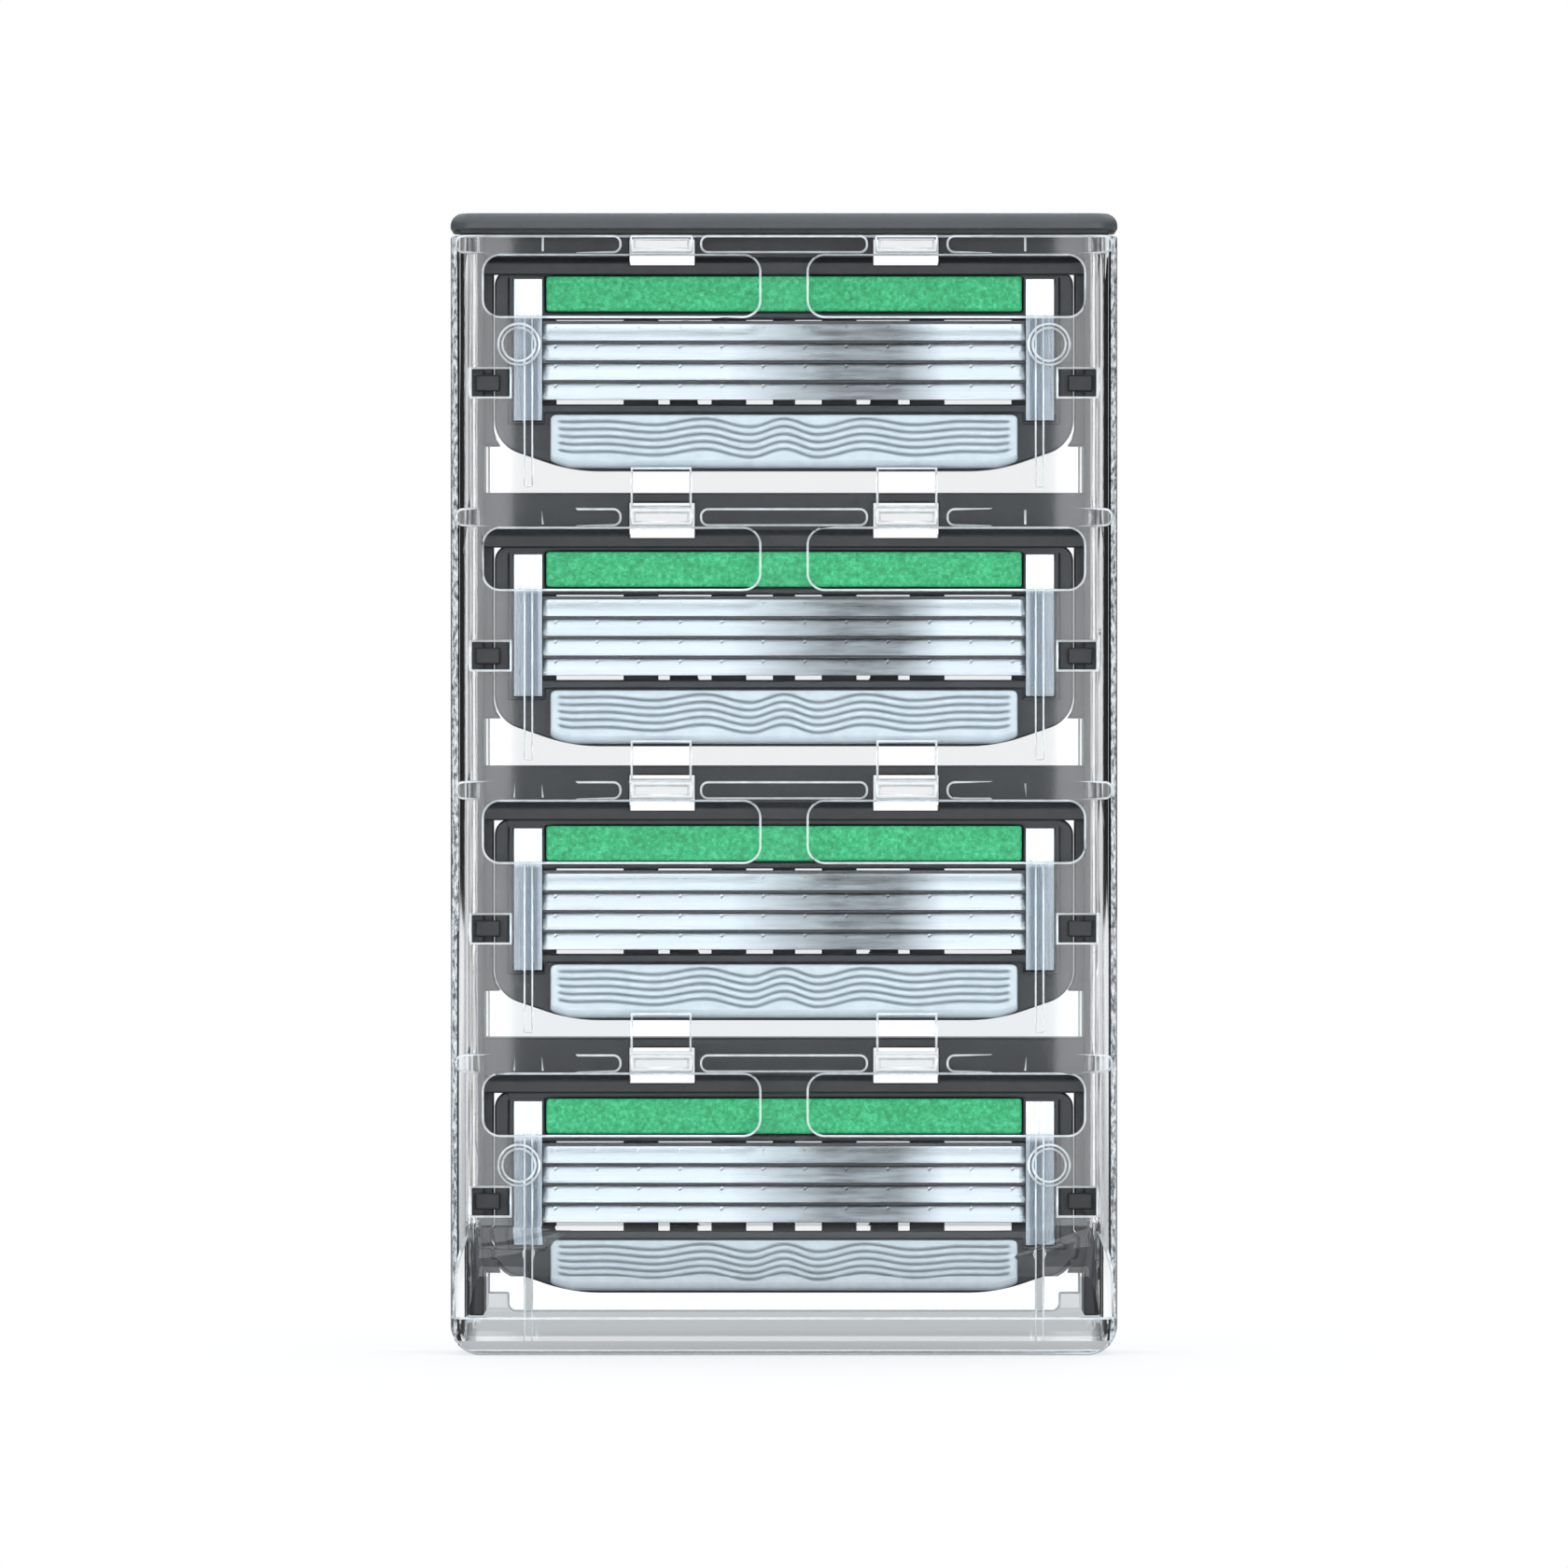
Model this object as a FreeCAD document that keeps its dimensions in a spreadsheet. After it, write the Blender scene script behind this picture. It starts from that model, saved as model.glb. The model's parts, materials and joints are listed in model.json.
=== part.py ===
import FreeCAD, Part
import Sketcher
import math
import os
import re

# A pocket-sized dispenser for razor cartridges. A clear case, open at the top and at the
# back, holds a dark tray that slides up and out by its end cap. Four cartridges lie in the
# tray's bays, blades towards the case's front wall (-Y) and docking connectors towards its
# open back (+Y), where a razor handle picks one up and pulls it out.
# Origin: middle of the case's foot. +Z is up, towards the cap. Lengths are millimetres.

DIMENSIONS = (
    ("overlap", 0.1, "how far a joined or cut prism runs past the face it meets"),
    ("fit_gap", 0.02, "clearance round a pressed-in piece"),
    ("rows", 4, "cartridges in the dispenser"),
    ("bay_pitch", 19.5, "height from one bay to the next"),
    ("wall", 1.0, "thickness of the clear case"),
    ("case_half", 23.85, "half the width of the case"),
    ("case_height", 80.0, "height of the case"),
    ("case_front", -7.0, "front face of the case"),
    ("case_back", 7.2, "rear edges of the case"),
    ("case_corner", 2.2, "rounding of the case's upright corners"),
    ("foot_corner", 2.2, "rounding of the case's bottom corners"),
    ("relief", 0.5, "height of the bars and rings on the case's front"),
    ("lip_inner", 21.2, "half the opening between the case's rear lips"),
    ("sill_top", 4.2, "top of the rear sill at its ends"),
    ("sill_dip", 2.9, "top of the rear sill in its middle"),
    ("sill_dip_half", 19.8, "half the width of the sill's dip"),
    ("window_inner", 1.77, "from the middle to a window's near edge"),
    ("window_outer", 21.43, "from the middle to a window's far edge"),
    ("window_low", 74.23, "lower edge of the top windows"),
    ("window_high", 78.53, "upper edge of the top windows"),
    ("window_corner", 1.15, "corner radius of a window"),
    ("thumb_low", 2.7, "lower edge of the thumb opening"),
    ("thumb_high", 9.25, "upper edge of the thumb opening"),
    ("thumb_floor", 1.4, "depth of the thumb opening at its lower edge"),
    ("thumb_middle", 0.95, "depth of the thumb opening halfway up"),
    ("thumb_curve", 6.0, "curve of the thumb opening"),
    ("snap_inner", 6.75, "from the middle to a snap hole's near edge"),
    ("snap_outer", 10.8, "from the middle to a snap hole's far edge"),
    ("snap_low", 60.7, "lower edge of the top snap holes"),
    ("snap_high", 63.27, "upper edge of the top snap holes"),
    ("finger_slot_inner", 19.6, "near edge of the slots that a stop finger shows through"),
    ("finger_slot_outer", 22.3, "far edge of those slots"),
    ("finger_slot_half", 0.98, "half the height of those slots"),
    ("bar_height", 1.3, "height of the bars across the case's front"),
    ("bar_end", 0.59, "rounding of the ends of a bar"),
    ("bar_inner", 11.6, "start of an outer bar"),
    ("bar_outer", 23.5, "end of an outer bar"),
    ("bar_dip_inner", 17.3, "near edge of the dip in an outer bar"),
    ("bar_dip_outer", 19.2, "far edge of the dip in an outer bar"),
    ("bar_dip_rim", 0.14, "rim left above and below the dip in a bar"),
    ("bar_middle", 6.0, "half the length of the middle bar"),
    ("ring_inner", 6.5, "near edge of a snap ring"),
    ("ring_outer", 11.0, "far edge of a snap ring"),
    ("ring_rim", 0.4, "thickness of a snap ring"),
    ("stud_from_middle", 18.93, "from the middle to a stacking stud"),
    ("stud_low", 13.58, "height of the lower stacking studs"),
    ("stud_high", 72.2, "height of the upper stacking studs"),
    ("stud_radius", 1.55, "radius of a stacking stud"),
    ("stud_dimple", 1.1, "radius of the dimple in a stud"),
    ("rib_inner", 17.93, "near side of a guide rib"),
    ("rib_outer", 18.6, "far side of a guide rib"),
    ("rib_low", 62.0, "lower end of the top guide ribs"),
    ("rib_face", -5.7, "inner face of the guide ribs"),
    ("rail_inner", 21.45, "inner face of a tray rail"),
    ("rail_outer", 22.6, "outer face of a tray rail"),
    ("rail_front", -5.4, "front face of a tray rail"),
    ("rail_back", 5.9, "rear face of a tray rail"),
    ("rail_corner", 0.7, "rounding of the outer front edge of a rail"),
    ("rail_low", 2.8, "lower end of the tray rails"),
    ("bay_top", 77.75, "roof of the top bay"),
    ("beam_height", 3.38, "height of a crossbeam between bays"),
    ("beam_back", 5.0, "rear edge of a crossbeam's flanges"),
    ("flange", 0.6, "thickness of a crossbeam's flanges"),
    ("web_setback", 0.2, "from the front rim of a housing back to the web of a crossbeam"),
    ("lip_drop", 0.55, "how far the lip of a crossbeam hangs below it"),
    ("lip_rise", 0.35, "height of the front of that lip above the bay roof"),
    ("lip_root", 0.75, "height at which that lip leaves the web"),
    ("slot_margin", 0.15, "web left below a snap slot"),
    ("pad_face", 20.8, "inner face of the pads that guide a cartridge's ends"),
    ("pad_low", 65.0, "lower end of the top pads"),
    ("pad_bend", 1.2, "height of the bend in a pad above its lower end"),
    ("pad_knee", 0.5, "height of the knee in a pad above its lower end"),
    ("pad_knee_reach", 0.18, "how far the knee of a pad reaches in"),
    ("pad_toe_reach", 0.5, "how far the toe of a pad reaches in"),
    ("finger_height", 69.46, "height of the top stop fingers"),
    ("finger_half", 0.59, "half the height of a stop finger"),
    ("recess_half", 0.97, "half the height of the recess behind a stop finger"),
    ("recess_rim", 0.25, "rim left outside that recess"),
    ("recess_depth", 0.5, "depth of that recess"),
    ("finger_inner", 20.3, "inner end of a stop finger"),
    ("finger_outer", 22.07, "outer end of a stop finger"),
    ("cap_low", 80.4, "underside of the end cap"),
    ("cap_high", 81.6, "top of the end cap"),
    ("cap_front", -7.2, "front face of the end cap"),
    ("cap_back", 7.5, "rear face of the end cap"),
    ("neck_inset", 0.65, "step from the end cap to its neck"),
    ("cap_rounding", 0.9, "rounding of the end cap's top edges"),
    ("seat", 63.0, "height of the top cartridge's lower edge"),
    ("play_top", 0.2, "how far the first cartridge sits above its seat"),
    ("play_second", 0.0, "the same for the second"),
    ("play_third", -0.1, "the same for the third"),
    ("play_bottom", -0.1, "the same for the fourth"),
    ("housing_half", 20.7, "half the width of a cartridge housing"),
    ("housing_height", 14.45, "height of a housing"),
    ("shell_top_corner", 1.2, "rounding of the upper corners of a housing"),
    ("shell_side_low", 1.9, "height at which the side of a housing turns in"),
    ("shell_side_corner", 2.4, "rounding of that turn"),
    ("shell_floor_half", 15.2, "half the width of the flat lower edge of a housing"),
    ("shell_floor_corner", 12.0, "rounding at the ends of that edge"),
    ("housing_front", -4.6, "front rim of a housing"),
    ("housing_back", -1.0, "rear face of a housing"),
    ("seat_front", -5.0, "front of a housing's clip seats and blade rims"),
    ("clip_seat_rim", 0.45, "width of a clip seat outside its clip"),
    ("clip_seat_step", 0.3, "width of a clip seat inside and below its clip"),
    ("blade_half", 17.25, "half the length of a blade"),
    ("blade_tip", -5.45, "front of the cutting edges"),
    ("blade_rise", 1.22, "height of a blade"),
    ("blade_reach", 0.49, "depth of a blade from its cutting edge to its back edge"),
    ("blade_gauge", 0.1, "thickness of a blade"),
    ("blade_low", 5.07, "height of the lowest cutting edge"),
    ("blade_pitch", 1.41, "from one cutting edge to the next"),
    ("blades", 4, "blades in a cartridge"),
    ("support_gauge", 0.2, "thickness of a bent blade support"),
    ("support_back", -2.4, "rear edge of a blade support"),
    ("covered", 0.4, "share of a blade, from its cutting edge, that its support leaves free"),
    ("opening_half", 17.35, "half the width of the rinse-through opening"),
    ("opening_low", 4.75, "lower edge of the rinse-through opening"),
    ("opening_high", 10.85, "upper edge of the rinse-through opening"),
    ("comb_half", 0.8, "half the width of the middle comb bar"),
    ("comb_near_inner", 2.7, "near side of the comb bars next to it"),
    ("comb_near_outer", 5.2, "far side of those bars"),
    ("comb_far_inner", 9.0, "near side of the outer comb bars"),
    ("comb_far_outer", 11.5, "far side of the outer comb bars"),
    ("comb_end", 16.3, "near side of the comb bars at the ends of the opening"),
    ("strip_half", 17.0, "half the length of the lubricating strip"),
    ("strip_low", 11.4, "lower edge of the strip"),
    ("strip_high", 13.9, "upper edge of the strip"),
    ("strip_bed", -3.8, "back of the strip"),
    ("strip_corner", 0.27, "rounding of the corners of the strip"),
    ("strip_edge", 0.15, "rounding of the front edges of the strip"),
    ("guard_half", 16.7, "half the width of the comfort guard"),
    ("guard_low", 0.2, "lower edge of the guard"),
    ("guard_high", 4.0, "upper edge of the guard"),
    ("guard_front", -5.35, "front of the guard"),
    ("guard_rise", 0.55, "how far the lower corners of the guard rise"),
    ("guard_taper", 1.7, "length of the rising part of the lower edge of the guard"),
    ("guard_corner", 0.45, "rounding of the upper corners of the guard"),
    ("groove_high", 3.47, "height of the guard's top groove"),
    ("groove_pitch", 0.54, "from one groove to the next"),
    ("groove_half", 0.13, "half the height of a groove"),
    ("groove_depth", 0.3, "depth of a groove"),
    ("groove_end", 0.6, "solid part of the guard beyond each end of a groove"),
    ("grooves", 5, "grooves in the guard"),
    ("clip_inner", 17.3, "inner edge of a clip"),
    ("clip_outer", 19.3, "outer edge of a clip"),
    ("clip_low", 3.6, "lower end of a clip"),
    ("clip_high", 13.7, "upper end of a clip"),
    ("clip_gauge", 0.3, "thickness of a clip"),
    ("clip_return", 1.5, "length of the folded ends of a clip"),
    ("pivot_depth", 0.1, "depth of the connector's pivot"),
    ("pivot_height", 3.4, "height of the connector's pivot"),
    ("pin_radius", 0.6, "radius of the pivot pins"),
    ("bearing_radius", 0.65, "radius of the pivot bearings"),
    ("lug_inner", 8.45, "inner face of a bearing lug"),
    ("lug_outer", 9.65, "outer face of a bearing lug"),
    ("lug_half", 1.1, "half the height of a bearing lug, and its reach past the pivot"),
    ("lug_corner", 1.0, "rounding of a bearing lug"),
    ("yoke_half", 8.2, "half the width of the connector"),
    ("yoke_low", 2.7, "lower edge of the connector"),
    ("yoke_high", 9.6, "upper edge of the connector"),
    ("yoke_front", -0.4, "front of the connector"),
    ("yoke_back", 2.4, "back of the connector"),
    ("yoke_corner", 0.7, "rounding of the corners of the connector"),
    ("socket_half", 6.2, "half the width of the docking socket"),
    ("socket_low", 4.6, "lower edge of the docking socket"),
    ("socket_high", 8.4, "upper edge of the docking socket"),
    ("socket_corner", 0.5, "rounding of the corners of the docking socket"),
    ("notch_reach", 0.7, "depth of the latch notches beside the socket"),
    ("notch_margin", 0.9, "from the edge of the socket to a latch notch"),
    ("notch_floor", 1.0, "material behind a latch notch"),
    ("pin_end_gap", 0.15, "from the end of a pivot pin to the outer face of its lug"),
)

doc = FreeCAD.newDocument("CartridgeDispenser")
sheet = doc.addObject("Spreadsheet::Sheet", "Sizes")
for row, (alias, number, note) in enumerate(DIMENSIONS, start=1):
    sheet.set(f"A{row}", alias)
    sheet.set(f"B{row}", str(number))
    sheet.set(f"C{row}", note)
    sheet.setAlias(f"B{row}", alias)
doc.recompute()

# ---------------------------------------------------------------- formulas and sketches


def formula(text):
    """The expression for a size written with the sheet's aliases, such as "case_half - wall"."""
    return re.sub(r"\b([a-z]+(?:_[a-z]+)*)\b(?!\()", r"Sizes.\1", str(text))


def value(text):
    return float(sheet.evalExpression(formula(text)))


def origin_item(body, role):
    return next(item for item in body.Origin.OriginFeatures if item.Role == role)


def constrain(sketch, kind, *arguments):
    """Adds a constraint whose last argument is a size, and binds it to the sheet."""
    *where, size = arguments
    index = sketch.addConstraint(Sketcher.Constraint(kind, *where, value(size)))
    sketch.setExpression(f"Constraints[{index}]", formula(size))


def place_point(sketch, geometry, end, across, up):
    constrain(sketch, "DistanceX", -1, 1, geometry, end, across)
    constrain(sketch, "DistanceY", -1, 1, geometry, end, up)


def corner_arc(point, before, after, radius):
    """The arc that rounds a corner, from the side that leads in to the side that leads out."""
    back = (before - point).normalize()
    ahead = (after - point).normalize()
    half_angle = back.getAngle(ahead) / 2
    run = radius / math.tan(half_angle)
    centre = point + (back + ahead).normalize() * (radius / math.sin(half_angle))
    middle = centre + (point - centre).normalize() * radius
    return Part.Arc(point + back * run, middle, point + ahead * run), point + back * run, point + ahead * run


def draw_outline(sketch, corners):
    """A closed outline. A corner is (across, up) or (across, up, radius)."""
    points = [FreeCAD.Vector(value(corner[0]), value(corner[1]), 0) for corner in corners]
    count = len(points)
    arcs = {}
    entries = list(points)
    exits = list(points)
    for i, corner in enumerate(corners):
        if len(corner) == 3:
            neighbours = points[i - 1], points[(i + 1) % count]
            arcs[i], entries[i], exits[i] = corner_arc(points[i], *neighbours, value(corner[2]))
    lines = []
    for i in range(count):
        side = Part.LineSegment(exits[i], entries[(i + 1) % count])
        lines.append(sketch.addGeometry(side, False))
    for i, corner in enumerate(corners):
        side_in, side_out = lines[i - 1], lines[i]
        if i not in arcs:
            sketch.addConstraint(Sketcher.Constraint("Coincident", side_in, 2, side_out, 1))
            place_point(sketch, side_out, 1, corner[0], corner[1])
            continue
        arc = sketch.addGeometry(arcs[i], False)
        starts_here = sketch.getPoint(arc, 1).distanceToPoint(entries[i]) < 1e-6
        end_in, end_out = (1, 2) if starts_here else (2, 1)
        sketch.addConstraint(Sketcher.Constraint("Tangent", side_in, 2, arc, end_in))
        sketch.addConstraint(Sketcher.Constraint("Tangent", arc, end_out, side_out, 1))
        constrain(sketch, "Radius", arc, corner[2])
        tip = sketch.addGeometry(Part.Point(points[i]), True)
        sketch.addConstraint(Sketcher.Constraint("PointOnObject", tip, 1, side_in))
        sketch.addConstraint(Sketcher.Constraint("PointOnObject", tip, 1, side_out))
        place_point(sketch, tip, 1, corner[0], corner[1])


def draw_circle(sketch, across, up, radius):
    centre = FreeCAD.Vector(value(across), value(up), 0)
    normal = FreeCAD.Vector(0, 0, 1)
    circle = sketch.addGeometry(Part.Circle(centre, normal, value(radius)), False)
    constrain(sketch, "Radius", circle, radius)
    place_point(sketch, circle, 3, across, up)


def rectangle(left, right, low, high, *radius):
    """Corners of a rectangle, all rounded alike if a radius is given."""
    corners = (left, low), (right, low), (right, high), (left, high)
    return [corner + radius for corner in corners]


def both_sides(*outlines):
    """The given outlines and their mirror images across the middle plane."""
    mirrored = [[(f"-({corner[0]})", *corner[1:]) for corner in outline] for outline in outlines]
    return [*outlines, *mirrored]


# ------------------------------------------------------------------------- body features


def new_body(label):
    body = doc.addObject("PartDesign::Body", label)
    body.Label = label
    return body


def extrude(body, name, role, outlines, start, end, cut=False, circles=()):
    """Adds or cuts a prism over outlines, from start to end along the plane's own axis."""
    sketch = body.newObject("Sketcher::SketchObject", f"{name}_sketch")
    sketch.AttachmentSupport = [(origin_item(body, role), "")]
    sketch.MapMode = "FlatFace"
    faces_back = role == "XZ_Plane"  # this plane's normal is -Y
    offset = f"-({start})" if faces_back else start
    sketch.setExpression("AttachmentOffset.Base.z", formula(offset))
    for outline in outlines:
        draw_outline(sketch, outline)
    for circle in circles:
        draw_circle(sketch, *circle)
    kind = "PartDesign::Pocket" if cut else "PartDesign::Pad"
    feature = body.newObject(kind, name)
    feature.Profile = sketch
    feature.setExpression("Length", formula(f"({end}) - ({start})"))
    feature.Reversed = faces_back != cut
    sketch.Visibility = False
    body.Tip = feature
    return feature


def repeat_down(body, feature, pitch, count):
    """Repeats a feature downwards, count times in all."""
    pattern = body.newObject("PartDesign::LinearPattern", f"{feature.Name}_rows")
    pattern.Originals = [feature]
    pattern.Direction = (origin_item(body, "Z_Axis"), [""])
    pattern.Reversed = True
    pattern.setExpression("Length", formula(f"({pitch}) * ({count} - 1)"))
    pattern.setExpression("Occurrences", formula(count))
    body.Tip = pattern
    return pattern


def mirror_across_middle(body, feature):
    mirrored = body.newObject("PartDesign::Mirrored", f"{feature.Name}_pair")
    mirrored.Originals = [feature]
    mirrored.MirrorPlane = (origin_item(body, "YZ_Plane"), [""])
    body.Tip = mirrored
    return mirrored


def round_edges(body, name, base, radius, wanted):
    """Fillets the edges of base whose middle point passes the test wanted."""
    doc.recompute()
    edges = base.Shape.Edges
    names = [f"Edge{i}" for i, edge in enumerate(edges, start=1) if wanted(edge.CenterOfMass)]
    fillet = body.newObject("PartDesign::Fillet", name)
    fillet.Base = (base, names)
    fillet.setExpression("Radius", formula(radius))
    body.Tip = fillet
    return fillet


# ------------------------------------------------------------------------------ the case


def build_case():
    body = new_body("clear_case")
    inner = "case_half - wall"
    section = [
        ("-case_half", "case_front", "case_corner"),
        ("case_half", "case_front", "case_corner"),
        ("case_half", "case_back", "wall / 2"),
        ("lip_inner", "case_back"),
        ("lip_inner", "case_back - wall"),
        (inner, "case_back - wall"),
        (inner, "case_front + wall", "case_corner - wall"),
        (f"-({inner})", "case_front + wall", "case_corner - wall"),
        (f"-({inner})", "case_back - wall"),
        ("-lip_inner", "case_back - wall"),
        ("-lip_inner", "case_back"),
        ("-case_half", "case_back", "wall / 2"),
    ]
    extrude(body, "case_walls", "XY_Plane", [section], "0", "case_height")
    floor = rectangle("wall / 2 - case_half", "case_half - wall / 2", "case_front + wall / 2", "case_back")
    extrude(body, "case_floor", "XY_Plane", [floor], "0", "wall")
    sill = [
        (f"-({inner})", "wall / 2"),
        (inner, "wall / 2"),
        (inner, "sill_top"),
        ("sill_dip_half", "sill_top"),
        ("sill_dip_half", "sill_dip", "wall / 2"),
        ("-sill_dip_half", "sill_dip", "wall / 2"),
        ("-sill_dip_half", "sill_top"),
        (f"-({inner})", "sill_top"),
    ]
    extrude(body, "rear_sill", "XZ_Plane", [sill], "case_back - wall", "case_back")
    corner_waste = [
        ("-case_half - wall", "-wall"),
        ("case_half + wall", "-wall"),
        ("case_half + wall", "sill_top"),
        ("case_half", "sill_top"),
        ("case_half", "0", "foot_corner"),
        ("-case_half", "0", "foot_corner"),
        ("-case_half", "sill_top"),
        ("-case_half - wall", "sill_top"),
    ]
    through = "case_front - wall", "case_back + wall"
    extrude(body, "foot_corners", "XZ_Plane", [corner_waste], *through, cut=True)
    outside = "case_front - 2 * relief"
    inside = "case_front + wall + overlap / 2"
    thumb = [
        (outside, "thumb_low"),
        ("case_front + thumb_floor", "thumb_low"),
        ("case_front + thumb_middle", "(thumb_low + thumb_high) / 2", "thumb_curve"),
        ("case_front", "thumb_high"),
        (outside, "thumb_high + 2 * wall"),
    ]
    extrude(body, "thumb_opening", "YZ_Plane", [thumb], "-case_half - wall", "case_half + wall", cut=True)
    window = rectangle("window_inner", "window_outer", "window_low", "window_high", "window_corner")
    windows = extrude(body, "window", "XZ_Plane", both_sides(window), outside, inside, cut=True)
    repeat_down(body, windows, "bay_pitch", "rows")
    hole = rectangle("snap_inner", "snap_outer", "snap_low", "snap_high")
    holes = extrude(body, "snap_hole", "XZ_Plane", both_sides(hole), outside, inside, cut=True)
    repeat_down(body, holes, "bay_pitch", "rows - 1")
    finger_slot = rectangle(
        "finger_slot_inner",
        "finger_slot_outer",
        "finger_height - finger_slot_half",
        "finger_height + finger_slot_half",
    )
    past_corner = "case_front + case_corner"
    finger_slots = extrude(
        body, "finger_slot", "XZ_Plane", both_sides(finger_slot), outside, past_corner, cut=True
    )
    repeat_down(body, finger_slots, "bay_pitch", "rows")

    front = "case_front - relief"
    skin = "case_front + wall / 4"
    bar_low = "case_height - bar_height"
    bar = rectangle("bar_inner", "bar_outer", bar_low, "case_height", "bar_end")
    middle_bar = rectangle("-bar_middle", "bar_middle", bar_low, "case_height", "bar_end")
    ring = rectangle("ring_inner", "ring_outer", bar_low, "case_height")
    ring_hole = rectangle(
        "ring_inner + ring_rim", "ring_outer - ring_rim", f"{bar_low} + ring_rim", "case_height - ring_rim"
    )
    outlines = both_sides(bar, ring, ring_hole) + [middle_bar]
    bars = extrude(body, "front_bars", "XZ_Plane", outlines, front, skin)
    repeat_down(body, bars, "bay_pitch", "rows")
    dip = rectangle(
        "bar_dip_inner", "bar_dip_outer", f"{bar_low} + bar_dip_rim", "case_height - bar_dip_rim"
    )
    dips = extrude(body, "bar_dips", "XZ_Plane", both_sides(dip), front, "case_front", cut=True)
    repeat_down(body, dips, "bay_pitch", "rows")
    studs = [
        (across, up, "stud_radius")
        for across in ("-stud_from_middle", "stud_from_middle")
        for up in ("stud_low", "stud_high")
    ]
    dimples = [(across, up, "stud_dimple") for across, up, _ in studs]
    extrude(body, "stacking_studs", "XZ_Plane", [], front, skin, circles=studs)
    extrude(body, "stud_dimples", "XZ_Plane", [], front, "case_front", cut=True, circles=dimples)
    rib = rectangle("rib_inner", "rib_outer", "rib_low", "window_low")
    ribs = extrude(body, "guide_ribs", "XZ_Plane", both_sides(rib), "case_front + wall / 2", "rib_face")
    repeat_down(body, ribs, "bay_pitch", "rows")
    tail = rectangle("rib_inner", "rib_outer", "wall / 2", "rib_low - bay_pitch * (rows - 1)")
    extrude(body, "rib_tails", "XZ_Plane", both_sides(tail), "case_front + wall / 2", "rib_face")


# ------------------------------------------------------------------------------ the tray


def build_tray():
    body = new_body("cartridge_tray")
    rail = [
        ("rail_inner", "rail_front"),
        ("rail_outer", "rail_front", "rail_corner"),
        ("rail_outer", "rail_back"),
        ("rail_inner", "rail_back"),
    ]
    extrude(body, "rails", "XY_Plane", both_sides(rail), "rail_low", "cap_low")
    web_front = "housing_front + web_setback"
    web_back = f"{web_front} + wall"
    lip_back = "housing_front - web_setback"
    lip_front = f"{lip_back} - wall / 2"
    roof = "bay_top + beam_height"
    beam = [
        (web_front, roof),
        ("beam_back", roof),
        ("beam_back", f"{roof} - flange"),
        (web_back, f"{roof} - flange"),
        (web_back, "bay_top + flange"),
        ("beam_back", "bay_top + flange"),
        ("beam_back", "bay_top"),
        (lip_back, "bay_top"),
        (lip_back, "bay_top - lip_drop"),
        (lip_front, "bay_top - lip_drop"),
        (lip_front, "bay_top + lip_rise"),
        (web_front, "bay_top + lip_root"),
    ]
    beams = extrude(body, "beam", "YZ_Plane", [beam], "-rail_inner - overlap", "rail_inner + overlap")
    repeat_down(body, beams, "bay_pitch", "rows")
    pad = [
        ("pad_face - pad_toe_reach", "pad_low"),
        ("rail_inner + overlap", "pad_low"),
        ("rail_inner + overlap", "bay_top + overlap"),
        ("pad_face", "bay_top + overlap"),
        ("pad_face", "pad_low + pad_bend"),
        ("pad_face - pad_knee_reach", "pad_low + pad_knee"),
    ]
    pads = extrude(body, "pad", "XZ_Plane", both_sides(pad), web_front, "wall / 2")
    repeat_down(body, pads, "bay_pitch", "rows")
    recess = rectangle(
        "rail_inner - overlap",
        "rail_outer - recess_rim",
        "finger_height - recess_half",
        "finger_height + recess_half",
    )
    recess_back = "rail_front + recess_depth"
    recesses = extrude(
        body, "finger_recess", "XZ_Plane", both_sides(recess), "rail_front - overlap", recess_back, cut=True
    )
    repeat_down(body, recesses, "bay_pitch", "rows")
    finger = rectangle(
        "finger_inner", "finger_outer", "finger_height - finger_half", "finger_height + finger_half"
    )
    finger_back = "housing_front - overlap"
    fingers = extrude(body, "stop_finger", "XZ_Plane", both_sides(finger), "rail_front", finger_back)
    repeat_down(body, fingers, "bay_pitch", "rows")
    slot_edges = "ring_inner - overlap", "ring_outer + overlap / 2"
    slot = rectangle(*slot_edges, "bay_top + slot_margin", f"{roof} - flange - overlap")
    slots = extrude(body, "snap_slot", "XZ_Plane", both_sides(slot), "rail_front", "rail_back", cut=True)
    repeat_down(body, slots, "bay_pitch", "rows")
    gap = rectangle(*slot_edges, "bay_top - overlap / 2", "bay_top + flange + overlap / 2")
    gaps = extrude(body, "flange_gap", "XZ_Plane", both_sides(gap), web_back, "rail_back", cut=True)
    repeat_down(body, gaps, "bay_pitch", "rows")
    neck = rectangle(
        "neck_inset - case_half", "case_half - neck_inset", "cap_front + neck_inset", "cap_back - neck_inset"
    )
    extrude(body, "cap_neck", "XY_Plane", [neck], "case_height + overlap / 2", "cap_low")
    cap = rectangle("-case_half", "case_half", "cap_front", "cap_back", "case_corner")
    base = extrude(body, "end_cap", "XY_Plane", [cap], "cap_low", "cap_high")

    def is_cap_top(middle):
        return middle.z > value("cap_high") - 0.01

    round_edges(body, "cap_edges", base, "cap_rounding", is_cap_top)


# ------------------------------------------------------------------------ the cartridges


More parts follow.
